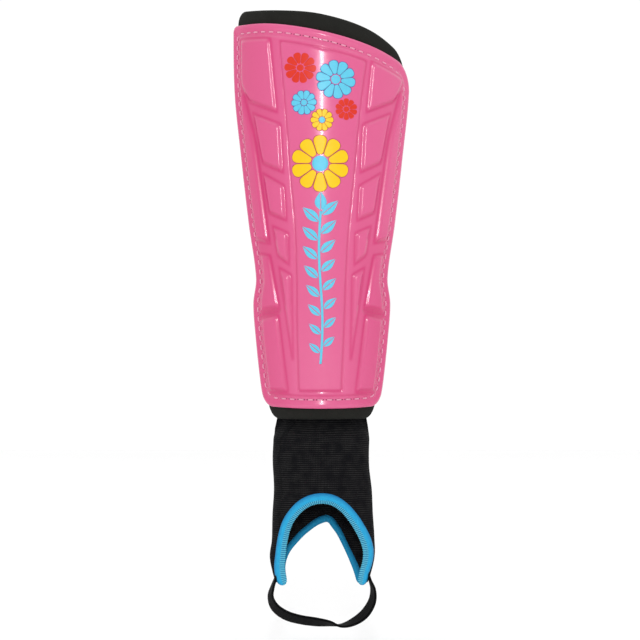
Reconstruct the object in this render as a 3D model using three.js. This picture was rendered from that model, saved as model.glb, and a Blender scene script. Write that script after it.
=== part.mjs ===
// Child's football shin guard with a knitted ankle sleeve, stirrup and calf strap.
// Units are millimetres. +Z runs up the leg, -Y points forward out of the shell and
// +X is the wearer's left. The origin is on the lining's inner face, half way up
// the shell.
import * as THREE from 'three';

const DEGREE = Math.PI / 180;
const GAP = 0.3; // clearance kept between pieces that touch

// ---- Driving dimensions -------------------------------------------------------

// Layers of the pad, counted as depths in from the shell's flange face.
const SHELL_WALL = 2.4;
const FOAM_WALL = 5.4;
const LINING_WALL = 1.0;
const SHELL_BACK = SHELL_WALL;
const FOAM_FRONT = SHELL_BACK + GAP;
const FOAM_BACK = FOAM_FRONT + FOAM_WALL;
const LINING_FRONT = FOAM_BACK + GAP;
const LINING_BACK = LINING_FRONT + LINING_WALL;

const BOW = 4.5; // how far the middle of the shin line stands proud of its ends
const BOW_SPAN = 112;
const WRAP_TOP = 60; // degrees from the centre line to the edge, at the top
const WRAP_BOTTOM = 54;
const WRAP_SPAN = 110;

// Height against half width of the shell, seen from the front.
const HALF_WIDTH = [
  [-112, 30.6], [-104.5, 31.2], [-91, 33.4], [-65, 36], [-47, 37.3],
  [-33, 36], [-3, 40], [33, 44.1], [70, 47.8], [116, 48.6],
];

// Position across the guard (-1 to 1) against height of each upper edge.
const SHELL_TOP = [[-1, 106.8], [-0.5, 106.3], [0, 101.5], [0.5, 93.4], [1, 82]];
const FOAM_TOP = [[-1, 115], [-0.4, 113.6], [0, 111.1], [0.5, 102.8], [1, 88]];
const SHELL_BOTTOM = -104.5;
const SHELL_BOTTOM_RISE = 1.3; // the bottom edge is this much higher at its ends
const FOAM_BOTTOM = -110.3;
const SHELL_CORNERS = { topLeft: 4, topRight: 12, bottom: 7 };
const FOAM_CORNERS = { topLeft: 8, topRight: 12, bottom: 10 };

const FLANGE = 9.6; // flat sewing flange round the shell
const FLANGE_RAMP = 2.4; // the step from the flange up to the raised body
const RAISE = 2;
const STITCH_INSET = 5.3;
const THREAD = 0.8;

// Calf strap: elastic webbing that closes behind the leg with hook and loop.
const STRAP_LOW = 36;
const STRAP_HIGH = 74;
const STRAP_MID = (STRAP_LOW + STRAP_HIGH) / 2;
const WEBBING = 1.5;
const TAPE = 1.2; // hook tape and loop tape
const TAPE_MARGIN = 3; // the tapes are narrower than the webbing on each side
const SEWN_LENGTH = 10; // degrees of each strap end sewn to the lining
const STRAP_START = 64; // degrees from the front, where the webbing leaves the pad
const TAB_END = 162;
const LOOP_TAPE = [130, 158];
const HOOK_TAPE = [129, 155];
const STRAP_END = 126;
const STRAP_RAMP = [160, 182]; // where the strap climbs over the tab

// Ankle sleeve: a ribbed tube, flattened front to back.
const KNIT = 1.2;
const SLEEVE_TOP = -111.6;
const SLEEVE_FRONT_AT_TOP = -2.4;
const SLEEVE_TOP_SLOPE = 0.42; // the upper edge drops towards the back, clear of the foam
const FLEX_Y = SLEEVE_FRONT_AT_TOP;
const SLEEVE_HALF_WIDTH = [[-205, 28.4], [-180, 28.6], [-150, 27.2], [-111, 25.6], [-95, 25.4]];
const SLEEVE_HALF_DEPTH = [[-205, 12], [-180, 12.6], [-150, 13.8], [-111, 14.6], [-95, 14.6]];
const SLEEVE_SQUARENESS = [[-205, 3], [-150, 2.4], [-95, 2.2]];
const SLEEVE_LEAN = 14; // the tube's middle comes forward by this much at the tips
const TIP = -200;

// Openings for the instep (front) and the heel (back), edged with binding.
const BINDING_WALL = 2.8;
const OPENINGS = {
  front: { apex: -155.6, half: 20.7, power: 2.5, outerApex: -150.7, outerHalf: 25.2, outerPower: 2.3 },
  back: { apex: -167.4, half: 20.7, power: 1.6, outerApex: -163.2, outerHalf: 25.2, outerPower: 1.7 },
};

// Stirrup: narrow elastic that passes under the foot.
const ELASTIC = 1.4;
const ELASTIC_WIDTH = 10;
const STIRRUP_X = 24.6;
const STIRRUP_PIVOT = -201;
const STIRRUP_HALF_PATH = [
  [STIRRUP_X, -200], [STIRRUP_X, -204.6], [27.2, -208], [26.6, -212.2], [21.5, -217.4], [12, -221.4],
];
const STIRRUP_LOW = -223;
const SEWN_END_TOP = -184;
const SEWN_END_BOTTOM = -195.2;
const TACK_WIDTH = 8;
const TACK_HEIGHT = 2;

// ---- Curves -------------------------------------------------------------------

// A smooth value read from a short list of [position, value] pairs.
function profile(points) {
  const slopes = points.map((point, i) => {
    const before = points[Math.max(i - 1, 0)];
    const after = points[Math.min(i + 1, points.length - 1)];
    return (after[1] - before[1]) / (after[0] - before[0]);
  });
  return (at) => {
    let i = 0;
    while (i < points.length - 2 && at > points[i + 1][0]) i += 1;
    const [x0, y0] = points[i];
    const [x1, y1] = points[i + 1];
    const span = x1 - x0;
    const t = THREE.MathUtils.clamp((at - x0) / span, 0, 1);
    const rise = (1 + 2 * t) * (1 - t) ** 2 * y0 + t * t * (3 - 2 * t) * y1;
    return rise + span * (t * (1 - t) ** 2 * slopes[i] - t * t * (1 - t) * slopes[i + 1]);
  };
}

// How far a rounded corner has dropped away at a distance in from the edge.
function cornerDrop(radius, distance) {
  const short = radius - distance;
  return short > 0 ? radius - Math.sqrt(Math.max(radius * radius - short * short, 0)) : 0;
}

const halfWidth = profile(HALF_WIDTH);
const shellTopLine = profile(SHELL_TOP);
const foamTopLine = profile(FOAM_TOP);

function wrapAngle(z) {
  const up = THREE.MathUtils.clamp((z + WRAP_SPAN) / (2 * WRAP_SPAN), 0, 1);
  return THREE.MathUtils.lerp(WRAP_BOTTOM, WRAP_TOP, up) * DEGREE;
}

function arcRadius(z) {
  return halfWidth(z) / Math.sin(wrapAngle(z));
}

// The flange face's y on the centre line: the lining's inner face is y = 0 at z = 0.
function frontLine(z) {
  return -LINING_BACK + BOW * (z / BOW_SPAN) ** 2;
}

// A point on the guard at a wrap angle, a height and a depth in from the flange face.
function guardPointAtAngle(angle, z, depth) {
  const radius = arcRadius(z);
  const reach = radius - depth;
  const x = reach * Math.sin(angle);
  const y = frontLine(z) + radius - reach * Math.cos(angle);
  return new THREE.Vector3(x, y, z);
}

// The same with the position across given from -1 (left edge) to 1 (right edge).
function guardPoint(across, z, depth) {
  return guardPointAtAngle(across * wrapAngle(z), z, depth);
}

// Upper and lower edges of the shell and of the foam, with their rounded corners.
function edgeHeights(across, topLine, bottom, rise, corners) {
  const topGirth = arcRadius(80) * wrapAngle(80);
  const bottomGirth = arcRadius(bottom) * wrapAngle(bottom);
  const leftDrop = cornerDrop(corners.topLeft, (1 + across) * topGirth);
  const rightDrop = cornerDrop(corners.topRight, (1 - across) * topGirth);
  const lift = cornerDrop(corners.bottom, (1 - Math.abs(across)) * bottomGirth);
  return {
    top: topLine(across) - leftDrop - rightDrop,
    bottom: bottom + rise * across * across + lift,
  };
}

function shellEdges(across) {
  return edgeHeights(across, shellTopLine, SHELL_BOTTOM, SHELL_BOTTOM_RISE, SHELL_CORNERS);
}

function foamEdges(across) {
  return edgeHeights(across, foamTopLine, FOAM_BOTTOM, 0, FOAM_CORNERS);
}

// How far the shell's body stands out of the flange.
function raisedBody(across, z) {
  const edges = shellEdges(across);
  const side = (1 - Math.abs(across)) * arcRadius(z) * wrapAngle(z);
  const inset = Math.min(side, edges.top - z, z - edges.bottom);
  return RAISE * THREE.MathUtils.clamp((inset - FLANGE) / FLANGE_RAMP, 0, 1);
}

// ---- Solids -------------------------------------------------------------------

// Steps from 0 to 1 that crowd towards both ends.
function crowdedSteps(count) {
  return Array.from({ length: count + 1 }, (_, i) => 0.5 - 0.5 * Math.cos((Math.PI * i) / count));
}

function evenSteps(count) {
  return Array.from({ length: count + 1 }, (_, i) => i / count);
}

function signedVolume(vertices, triangles) {
  const cross = new THREE.Vector3();
  return triangles.reduce((total, [a, b, c]) => {
    cross.crossVectors(vertices[b], vertices[c]);
    return total + vertices[a].dot(cross) / 6;
  }, 0);
}

// A closed sheet: face(u, v, side) gives its back (side 0) and its front (side 1).
// A ring joins its last column to its first and has no side edges.
function sheetSolid(columns, rows, face, ring = false) {
  const vertices = [];
  const triangles = [];
  const usedColumns = ring ? columns.slice(0, -1) : columns;
  const height = rows.length;
  const index = (side, i, j) => (side * usedColumns.length + (i % usedColumns.length)) * height + j;
  const quad = (a, b, c, d) => triangles.push([a, b, c], [a, c, d]);

  for (const side of [0, 1]) {
    for (const u of usedColumns) {
      for (const v of rows) vertices.push(face(u, v, side));
    }
  }
  for (let i = 0; i < columns.length - 1; i += 1) {
    for (let j = 0; j < height - 1; j += 1) {
      quad(index(1, i, j), index(1, i + 1, j), index(1, i + 1, j + 1), index(1, i, j + 1));
      quad(index(0, i, j), index(0, i, j + 1), index(0, i + 1, j + 1), index(0, i + 1, j));
    }
    quad(index(0, i, 0), index(0, i + 1, 0), index(1, i + 1, 0), index(1, i, 0));
    const last = height - 1;
    quad(index(0, i, last), index(1, i, last), index(1, i + 1, last), index(0, i + 1, last));
  }
  if (!ring) {
    const end = columns.length - 1;
    for (let j = 0; j < height - 1; j += 1) {
      quad(index(0, 0, j), index(1, 0, j), index(1, 0, j + 1), index(0, 0, j + 1));
      quad(index(0, end, j), index(0, end, j + 1), index(1, end, j + 1), index(1, end, j));
    }
  }
  return solidGeometry(vertices, triangles);
}

function solidGeometry(vertices, triangles) {
  const outward = signedVolume(vertices, triangles) > 0;
  const geometry = new THREE.BufferGeometry();
  geometry.setFromPoints(vertices);
  geometry.setIndex(triangles.flatMap(([a, b, c]) => (outward ? [a, b, c] : [a, c, b])));
  geometry.computeVertexNormals();
  return geometry;
}

// A loop or a line of thread, six-sided, through points in order.
function thread(points, thickness, closed) {
  const curve = new THREE.CatmullRomCurve3(points, closed);
  const count = closed ? points.length : points.length - 1;
  const frames = curve.computeFrenetFrames(count, closed);
  const sides = 6;
  const vertices = [];
  const rings = closed ? count : count + 1;
  for (let i = 0; i < rings; i += 1) {
    const centre = curve.getPointAt(i / count);
    for (let k = 0; k < sides; k += 1) {
      const turn = (2 * Math.PI * k) / sides;
      vertices.push(centre.clone()
        .addScaledVector(frames.normals[i], (thickness / 2) * Math.cos(turn))
        .addScaledVector(frames.binormals[i], (thickness / 2) * Math.sin(turn)));
    }
  }
  const triangles = [];
  for (let i = 0; i < count; i += 1) {
    const here = i * sides;
    const next = ((i + 1) % rings) * sides;
    for (let k = 0; k < sides; k += 1) {
      const l = (k + 1) % sides;
      triangles.push([here + k, next + k, next + l], [here + k, next + l, here + l]);
    }
  }
  if (!closed) {
    const last = (rings - 1) * sides;
    for (let k = 1; k < sides - 1; k += 1) {
      triangles.push([0, k, k + 1], [last, last + k + 1, last + k]);
    }
  }
  return solidGeometry(vertices, triangles);
}

// ---- Pad: shell, foam, lining and their stitching -----------------------------

function padLayer(columns, rows, edgesAt, depthAt) {
  return sheetSolid(crowdedSteps(columns), crowdedSteps(rows), (u, v, side) => {
    const across = 2 * u - 1;
    const edges = edgesAt(across);
    const z = THREE.MathUtils.lerp(edges.bottom, edges.top, v);
    return guardPoint(across, z, depthAt(across, z, side));
  });
}

function hardShell() {
  return padLayer(36, 40, shellEdges, (across, z, side) => (
    side ? -raisedBody(across, z) : SHELL_BACK
  ));
}

function foamBacking() {
  return padLayer(36, 32, foamEdges, (across, z, side) => (side ? FOAM_FRONT : FOAM_BACK));
}

function lining() {
  return padLayer(36, 24, foamEdges, (across, z, side) => (side ? LINING_FRONT : LINING_BACK));
}

// The lockstitch that joins shell, foam and lining: one loop round the flange.
function edgeStitching() {
  const depth = -(THREAD / 2 + 3 * GAP);
  const topCount = 24;
  const sideCount = 30;
  const inner = (z) => 1 - STITCH_INSET / (arcRadius(z) * wrapAngle(z));
  const rowPoint = (step, edge) => {
    const across = 2 * step - 1;
    const z = edge === 'top' ? shellEdges(across).top - STITCH_INSET : shellEdges(across).bottom + STITCH_INSET;
    return guardPoint(across * inner(z), z, depth);
  };
  const sidePoint = (step, across) => {
    const edges = shellEdges(across);
    const z = THREE.MathUtils.lerp(edges.bottom + STITCH_INSET, edges.top - STITCH_INSET, step);
    return guardPoint(across * inner(z), z, depth);
  };
  const rowSteps = crowdedSteps(topCount);
  const sideSteps = evenSteps(sideCount).slice(1, -1);
  const points = [
    ...rowSteps.map((step) => rowPoint(step, 'top')),
    ...sideSteps.map((step) => sidePoint(1 - step, 1)),
    ...rowSteps.map((step) => rowPoint(1 - step, 'bottom')),
    ...sideSteps.map((step) => sidePoint(step, -1)),
  ];
  return thread(points, THREAD, true);
}

// ---- Calf strap ---------------------------------------------------------------

// A stretch of webbing or tape that follows the guard's own rounds behind the leg.
// The angles are degrees from the front; side is -1 for the left, 1 for the right.
function strapArc(side, from, to, low, high, thickness, lift, count) {
  return sheetSolid(evenSteps(count), evenSteps(4), (u, v, face) => {
    const degrees = THREE.MathUtils.lerp(from, to, u);
    const z = THREE.MathUtils.lerp(low, high, v);
    const depth = LINING_BACK + GAP + WEBBING - lift(degrees) - face * thickness;
    return guardPointAtAngle(side * degrees * DEGREE, z, depth);
  });
}

const flatLift = (height) => () => height;
const loopTapeLift = WEBBING + GAP;
const hookTapeLift = loopTapeLift + TAPE + GAP;
const strapOverLift = hookTapeLift + TAPE + GAP;

// The strap runs level with the tab, then climbs over it. Its angles go on past the
// back of the leg, so the tab's angle on the other side is 360 degrees less them.
function strapLift(degrees) {
  const farSide = 360 - degrees;
  const climb = THREE.MathUtils.smoothstep(STRAP_RAMP[1] - farSide, 0, STRAP_RAMP[1] - STRAP_RAMP[0]);
  return strapOverLift * climb;
}

function sewnEnd(side) {
  const edge = wrapAngle(STRAP_MID) / DEGREE - 1;
  return strapArc(side, edge - SEWN_LENGTH, edge, STRAP_LOW, STRAP_HIGH, WEBBING, flatLift(0), 6);
}

function calfStrap() {
  return strapArc(-1, STRAP_START, 360 - STRAP_END, STRAP_LOW, STRAP_HIGH, WEBBING, strapLift, 44);
}

function calfTab() {
  return strapArc(1, STRAP_START, TAB_END, STRAP_LOW, STRAP_HIGH, WEBBING, flatLift(0), 24);
}

function strapTape(range, lift) {
  const low = STRAP_LOW + TAPE_MARGIN;
  const high = STRAP_HIGH - TAPE_MARGIN;
  return strapArc(1, range[0], range[1], low, high, TAPE, flatLift(lift), 8);
}

// The box of stitching that holds a sewn end, on the leg side of the webbing.
function boxStitching(side) {
  const edge = wrapAngle(STRAP_MID) / DEGREE - 1;
  const margin = 2;
  const near = edge - SEWN_LENGTH + margin;
  const far = edge - margin;
  const low = STRAP_LOW + margin;
  const high = STRAP_HIGH - margin;
  const corners = [[near, low], [far, low], [far, high], [near, high]];
  const perSide = 5;
  const depth = LINING_BACK + GAP + WEBBING + GAP + THREAD / 2;
  const points = corners.flatMap(([degrees, z], i) => {
    const [nextDegrees, nextZ] = corners[(i + 1) % corners.length];
    return evenSteps(perSide).slice(0, -1).map((t) => guardPointAtAngle(
      side * THREE.MathUtils.lerp(degrees, nextDegrees, t) * DEGREE,
      THREE.MathUtils.lerp(z, nextZ, t),
      depth,
    ));
  });
  return thread(points, THREAD, true);
}

// ---- Ankle sleeve -------------------------------------------------------------

const sleeveHalfWidth = profile(SLEEVE_HALF_WIDTH);
const sleeveHalfDepth = profile(SLEEVE_HALF_DEPTH);
const sleeveSquareness = profile(SLEEVE_SQUARENESS);

function sleeveMiddle(z) {
  const down = THREE.MathUtils.clamp((SLEEVE_TOP - z) / (SLEEVE_TOP - TIP), 0, 1.2);
  return SLEEVE_FRONT_AT_TOP + sleeveHalfDepth(SLEEVE_TOP) - SLEEVE_LEAN * down ** 1.3;
}

// A point on the tube: turn is 0 at the front, 90 degrees at +X and 180 at the back.
function sleevePoint(turn, z, lift) {
  const power = 2 / sleeveSquareness(z);
  const s = Math.sin(turn);
  const c = Math.cos(turn);
  const x = (sleeveHalfWidth(z) + lift) * Math.sign(s) * Math.abs(s) ** power;
  const y = sleeveMiddle(z) - (sleeveHalfDepth(z) + lift) * Math.sign(c) * Math.abs(c) ** power;
  return new THREE.Vector3(x, y, z);
}

// The turn from the nearer of the front and back lines at which the tube has this x.
function turnAt(x, z) {
  const share = Math.min(Math.abs(x) / sleeveHalfWidth(z), 1);
  return Math.sign(x) * Math.asin(share ** (sleeveSquareness(z) / 2));
}

// A point on an opening's edge, step -1 at the left tip, 0 at the apex, 1 at the right.
function archPoint(step, apex, half, power) {
  const angle = Math.abs(step) * (Math.PI / 2);
  const x = Math.sign(step) * half * Math.sin(angle) ** (2 / power);
  const z = TIP + (apex - TIP) * Math.max(Math.cos(angle), 0) ** (2 / power);
  return { turn: turnAt(x, z), z };
}

// The knit's lower edge, once round from the front, just clear of both bindings.
function sleeveHem() {
  const edge = (opening, step) => (
    archPoint(step, opening.outerApex + GAP, opening.outerHalf + GAP, opening.outerPower)
  );
  const steps = evenSteps(14);
  const right = [
    ...steps.map((step) => edge(OPENINGS.front, step)),
    { turn: Math.PI / 2, z: TIP },
    ...steps.map((step) => edge(OPENINGS.back, 1 - step)).map(({ turn, z }) => ({ turn: Math.PI - turn, z })),
  ];
  const left = right.slice(1).reverse().map(({ turn, z }) => ({ turn: 2 * Math.PI - turn, z }));
  return [...right, ...left];
}

function ankleSleeve() {
  const hem = sleeveHem();
  const columns = hem.map((_, i) => i);
  return sheetSolid(columns, evenSteps(12), (column, v, side) => {
    const { turn, z: low } = hem[column];
    const behind = sleevePoint(turn, SLEEVE_TOP, 0).y - FLEX_Y;
    const high = SLEEVE_TOP - SLEEVE_TOP_SLOPE * Math.max(behind, 0);
    const z = THREE.MathUtils.lerp(low, high, v);
    return sleevePoint(turn, z, (side - 0.5) * KNIT);
  }, true);
}

// Folded binding along one opening: a strip of the tube between two arches.
function openingBinding(opening, atBack) {
  const steps = evenSteps(40).map((step) => 2 * step - 1);
  return sheetSolid(steps, evenSteps(2), (step, v, side) => {
    const inner = archPoint(step, opening.apex, opening.half, opening.power);
    const outer = archPoint(step, opening.outerApex, opening.outerHalf, opening.outerPower);
    const turn = THREE.MathUtils.lerp(inner.turn, outer.turn, v);
    const z = THREE.MathUtils.lerp(inner.z, outer.z, v);
    return sleevePoint(atBack ? Math.PI - turn : turn, z, (side - 0.5) * BINDING_WALL);
  });
}

// The thread that sews the sleeve's front edge inside the foot of the pad.
function sleeveSeam() {
  const reach = 0.72;
  const aboveFoot = 5;
  const points = evenSteps(24).map((step) => (
    guardPoint(reach * (2 * step - 1), FOAM_BOTTOM + aboveFoot, LINING_BACK + GAP + THREAD / 2)
  ));
  return thread(points, THREAD, false);
}

// ---- Stirrup ------------------------------------------------------------------

function stirrupStrap() {
  const half = ELASTIC_WIDTH / 2;
  const endTop = STIRRUP_PIVOT + half - GAP;
  const right = [[STIRRUP_X, endTop], ...STIRRUP_HALF_PATH];
  const left = right.map(([x, z]) => [-x, z]);
  const route = [...left, [0, STIRRUP_LOW], ...right.reverse()];
  const middle = sleeveMiddle(TIP);
  const curve = new THREE.CatmullRomCurve3(route.map(([x, z]) => new THREE.Vector3(x, middle, z)));
  return sheetSolid(evenSteps(56), evenSteps(4), (u, v, side) => {
    const point = curve.getPointAt(u);
    const along = curve.getTangentAt(u);
    const above = Math.max(point.z - STIRRUP_PIVOT, 0);
    const reach = Math.sqrt(half * half - above * above);
    point.x += (side - 0.5) * ELASTIC * along.z;
    point.z -= (side - 0.5) * ELASTIC * along.x;
    point.y += reach * (2 * v - 1);
    return point;
  });
}

// A flat patch inside a tab of the sleeve, following the tube's lean.
function tabPatch(x, thickness, width, low, high) {
  return sheetSolid(evenSteps(1), evenSteps(3), (u, v, side) => {
    const z = THREE.MathUtils.lerp(low, high, v);
    return new THREE.Vector3(x + (side - 0.5) * thickness, sleeveMiddle(z) + (u - 0.5) * width, z);
  });
}

// The end of the elastic sewn inside a tab of the sleeve.
function stirrupSewnEnd(side) {
  return tabPatch(side * STIRRUP_X, ELASTIC, ELASTIC_WIDTH, SEWN_END_BOTTOM, SEWN_END_TOP);
}

// The bar of dense stitching through that end.
function tipTack(side) {
  const x = side * (STIRRUP_X - ELASTIC / 2 - GAP - THREAD / 2);
  const middle = (SEWN_END_TOP + SEWN_END_BOTTOM) / 2;
  return tabPatch(x, THREAD, TACK_WIDTH, middle - TACK_HEIGHT / 2, middle + TACK_HEIGHT / 2);
}

// ---- Assembly -----------------------------------------------------------------

const MATERIALS = {
  pinkShell: { color: 0xe25a92, roughness: 0.28, metalness: 0 },
  blackFoam: { color: 0x23241f, roughness: 0.9, metalness: 0 },
  greyLining: { color: 0x2b2c2e, roughness: 0.95, metalness: 0 },
  pinkThread: { color: 0xd94a86, roughness: 0.7, metalness: 0 },
  blackElastic: { color: 0x151517, roughness: 0.85, metalness: 0 },
  blackTape: { color: 0x1c1c1e, roughness: 0.95, metalness: 0 },
  blackKnit: { color: 0x141416, roughness: 0.95, metalness: 0 },
  blueBinding: { color: 0x2496c8, roughness: 0.75, metalness: 0 },
  blackThread: { color: 0x101011, roughness: 0.8, metalness: 0 },
};

const PIECES = [
  ['hard_shell', 'pinkShell', hardShell()],
  ['foam_backing', 'blackFoam', foamBacking()],
  ['lining', 'greyLining', lining()],
  ['edge_stitching', 'pinkThread', edgeStitching()],
  ['sleeve_seam_stitching', 'blackThread', sleeveSeam()],
  ['calf_strap_sewn_end', 'blackElastic', sewnEnd(-1)],
  ['calf_strap_stitching', 'blackThread', boxStitching(-1)],
  ['calf_tab_sewn_end', 'blackElastic', sewnEnd(1)],
  ['calf_tab_stitching', 'blackThread', boxStitching(1)],
  ['calf_strap', 'blackElastic', calfStrap()],
  ['hook_tape', 'blackTape', strapTape(HOOK_TAPE, hookTapeLift)],
  ['calf_tab', 'blackElastic', calfTab()],
  ['loop_tape', 'blackTape', strapTape(LOOP_TAPE, loopTapeLift)],
  ['ankle_sleeve', 'blackKnit', ankleSleeve()],
  ['front_opening_binding', 'blueBinding', openingBinding(OPENINGS.front, false)],
  ['back_opening_binding', 'blueBinding', openingBinding(OPENINGS.back, true)],
  ['stirrup_sewn_end_left', 'blackElastic', stirrupSewnEnd(-1)],
  ['stirrup_sewn_end_right', 'blackElastic', stirrupSewnEnd(1)],
  ['tip_tack_left', 'blackThread', tipTack(-1)],
  ['tip_tack_right', 'blackThread', tipTack(1)],
  ['stirrup_strap', 'blackElastic', stirrupStrap()],
];

const shinGuard = new THREE.Group();
for (const [name, finish, geometry] of PIECES) {
  const mesh = new THREE.Mesh(geometry, new THREE.MeshStandardMaterial(MATERIALS[finish]));
  mesh.name = name;
  shinGuard.add(mesh);
}

export default shinGuard;
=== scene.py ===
"""Child's football shin guard with a knitted ankle sleeve, stirrup and calf strap.

Shapes are worked out in millimetres on the guard's own curved surface and turned
into metres as each mesh is made. +Z runs up the leg and -Y points out of the shell.
"""

import math

import bmesh
import bpy
import numpy as np
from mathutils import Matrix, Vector


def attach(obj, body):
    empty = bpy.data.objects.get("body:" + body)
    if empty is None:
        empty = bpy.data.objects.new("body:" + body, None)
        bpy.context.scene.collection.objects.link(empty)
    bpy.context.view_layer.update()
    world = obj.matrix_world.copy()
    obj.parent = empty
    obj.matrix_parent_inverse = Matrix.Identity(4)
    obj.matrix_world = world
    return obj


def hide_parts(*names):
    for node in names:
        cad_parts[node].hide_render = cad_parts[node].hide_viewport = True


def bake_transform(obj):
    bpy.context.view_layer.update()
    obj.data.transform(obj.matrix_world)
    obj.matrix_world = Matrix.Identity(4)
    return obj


MM = 0.001
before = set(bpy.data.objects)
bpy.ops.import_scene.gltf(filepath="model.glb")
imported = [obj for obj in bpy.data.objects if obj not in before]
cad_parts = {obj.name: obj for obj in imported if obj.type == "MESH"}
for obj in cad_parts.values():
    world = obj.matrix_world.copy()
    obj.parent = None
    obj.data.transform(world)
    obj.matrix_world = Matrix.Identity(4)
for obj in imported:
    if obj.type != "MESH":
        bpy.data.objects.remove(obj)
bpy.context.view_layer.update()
scene = bpy.context.scene


# ---- Driving dimensions of the pad, in millimetres ----

GAP = 0.3
SHELL_BACK = 2.4
FOAM_FRONT = 2.7
FOAM_BACK = 8.1
LINING_FRONT = 8.4
LINING_BACK = 9.4
BOW = 4.5
BOW_SPAN = 112
WRAP_BOTTOM = 54
WRAP_TOP = 60
WRAP_SPAN = 110
SHELL_BOTTOM = -104.5
SHELL_BOTTOM_RISE = 1.3
FOAM_BOTTOM = -110.3
HALF_WIDTH = [
    (-112, 31.2), (-104.5, 31.8), (-91, 34.1), (-65, 36.9), (-47, 38.1),
    (-33, 36.6), (-3, 40.7), (33, 44.9), (70, 48.7), (116, 49.5),
]
SHELL_TOP = [(-1, 106.8), (-0.5, 106.3), (0, 101.5), (0.5, 93.4), (1, 82)]
FOAM_TOP = [(-1, 115), (-0.4, 113.6), (0, 111.1), (0.5, 102.8), (1, 88)]
SHELL_CORNERS = (4, 12, 7)  # top left, top right, bottom
FOAM_CORNERS = (8, 12, 8.5)
TOP_CORNER_Z = 80

STITCH_INSET = 4.9
STITCH_PITCH = 5.2
STITCH_LENGTH = 3.1
THREAD = 0.8


# ---- Curves ----

def profile(points):
    """A smooth function through a short list of (position, value) pairs."""
    xs = np.array([p[0] for p in points], float)
    ys = np.array([p[1] for p in points], float)
    last = len(xs) - 1
    before = np.maximum(np.arange(last + 1) - 1, 0)
    after = np.minimum(np.arange(last + 1) + 1, last)
    slopes = (ys[after] - ys[before]) / (xs[after] - xs[before])

    def value(at):
        at = np.asarray(at, float)
        i = np.clip(np.searchsorted(xs, at, side="left") - 1, 0, last - 1)
        span = xs[i + 1] - xs[i]
        t = np.clip((at - xs[i]) / span, 0, 1)
        rise = (1 + 2 * t) * (1 - t) ** 2 * ys[i] + t * t * (3 - 2 * t) * ys[i + 1]
        return rise + span * (t * (1 - t) ** 2 * slopes[i] - t * t * (1 - t) * slopes[i + 1])

    return value


def smoothstep(low, high, at):
    t = np.clip((np.asarray(at, float) - low) / (high - low), 0, 1)
    return t * t * (3 - 2 * t)


def lerp(a, b, t):
    return a + (b - a) * t


def ridge_at(distance, width):
    """A soft bump, 1 high where the distance is 0."""
    return np.exp(-(distance / width) ** 2)


half_width = profile(HALF_WIDTH)
shell_top_line = profile(SHELL_TOP)
foam_top_line = profile(FOAM_TOP)


def wrap_angle(z):
    up = np.clip((np.asarray(z, float) + WRAP_SPAN) / (2 * WRAP_SPAN), 0, 1)
    return np.radians(lerp(WRAP_BOTTOM, WRAP_TOP, up))


def arc_radius(z):
    return half_width(z) / np.sin(wrap_angle(z))


def girth(z):
    """Length round the face from the centre line to either side."""
    return arc_radius(z) * wrap_angle(z)


def front_line(z):
    return -LINING_BACK + BOW * (np.asarray(z, float) / BOW_SPAN) ** 2


def point_at_angle(angle, z, depth):
    """Points on the guard at a wrap angle, a height and a depth in from its face."""
    radius = arc_radius(z)
    reach = radius - depth
    x = reach * np.sin(angle)
    y = front_line(z) + radius - reach * np.cos(angle)
    return np.stack(np.broadcast_arrays(x, y, np.asarray(z, float)), axis=-1)


def guard_point(across, z, depth):
    return point_at_angle(across * wrap_angle(z), z, depth)


def across_at(x, z):
    """The position across the guard, -1 to 1, of a point seen at x from the front."""
    return np.arcsin(np.clip(x / arc_radius(z), -0.999, 0.999)) / wrap_angle(z)


def corner_drop(radius, distance):
    """How far a rounded edge falls away at a distance in from where it ends."""
    short = np.clip(radius - distance, 0, radius)
    return radius - np.sqrt(radius * radius - short * short)


# Outline of a layer: its top line, bottom, how much the bottom's ends rise, corner radii.
SHELL_OUTLINE = (shell_top_line, SHELL_BOTTOM, SHELL_BOTTOM_RISE, SHELL_CORNERS)
FOAM_OUTLINE = (foam_top_line, FOAM_BOTTOM, 0, FOAM_CORNERS)


def edge_heights(across, top_line, bottom, rise, corners):
    """Lower and upper edge of a layer, with its rounded corners."""
    drop = corner_drop(corners[0], (1 + across) * girth(TOP_CORNER_Z))
    drop = drop + corner_drop(corners[1], (1 - across) * girth(TOP_CORNER_Z))
    lift = corner_drop(corners[2], (1 - np.abs(across)) * girth(bottom))
    return bottom + rise * across**2 + lift, top_line(across) - drop


def rounded_inset(side, end, radius):
    """Distance in from an outline whose corner has the given radius."""
    a = np.maximum(radius - side, 0)
    b = np.maximum(radius - end, 0)
    return np.where((a > 0) & (b > 0), radius - np.hypot(a, b), np.minimum(side, end))


def outline_inset(across, z, top_line, bottom, rise, corners):
    """How far in from a layer's outline a point lies, along the surface."""
    step = 0.01
    half = girth(z)
    slope = (top_line(across + step) - top_line(across - step)) / (2 * step * half)
    from_top = (top_line(across) - z) / np.hypot(1, slope)
    from_bottom = z - bottom - rise * across**2
    left = (1 + across) * half
    right = (1 - across) * half
    inset = np.minimum(
        rounded_inset(left, from_top, corners[0]),
        rounded_inset(right, from_top, corners[1]),
    )
    inset = np.minimum(inset, rounded_inset(left, from_bottom, corners[2]))
    inset = np.minimum(inset, rounded_inset(right, from_bottom, corners[2]))
    return np.maximum(inset, 0)


def layer_grid(columns, rows, outline):
    """A grid over a layer: position across it, height, and distance in from its edge."""
    across = 2 * columns[:, None] - 1 + 0 * rows[None, :]
    low, high = edge_heights(across, *outline)
    z = lerp(low, high, rows[None, :])
    return across, z, outline_inset(across, z, *outline)


# ---- Meshes ----

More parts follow.
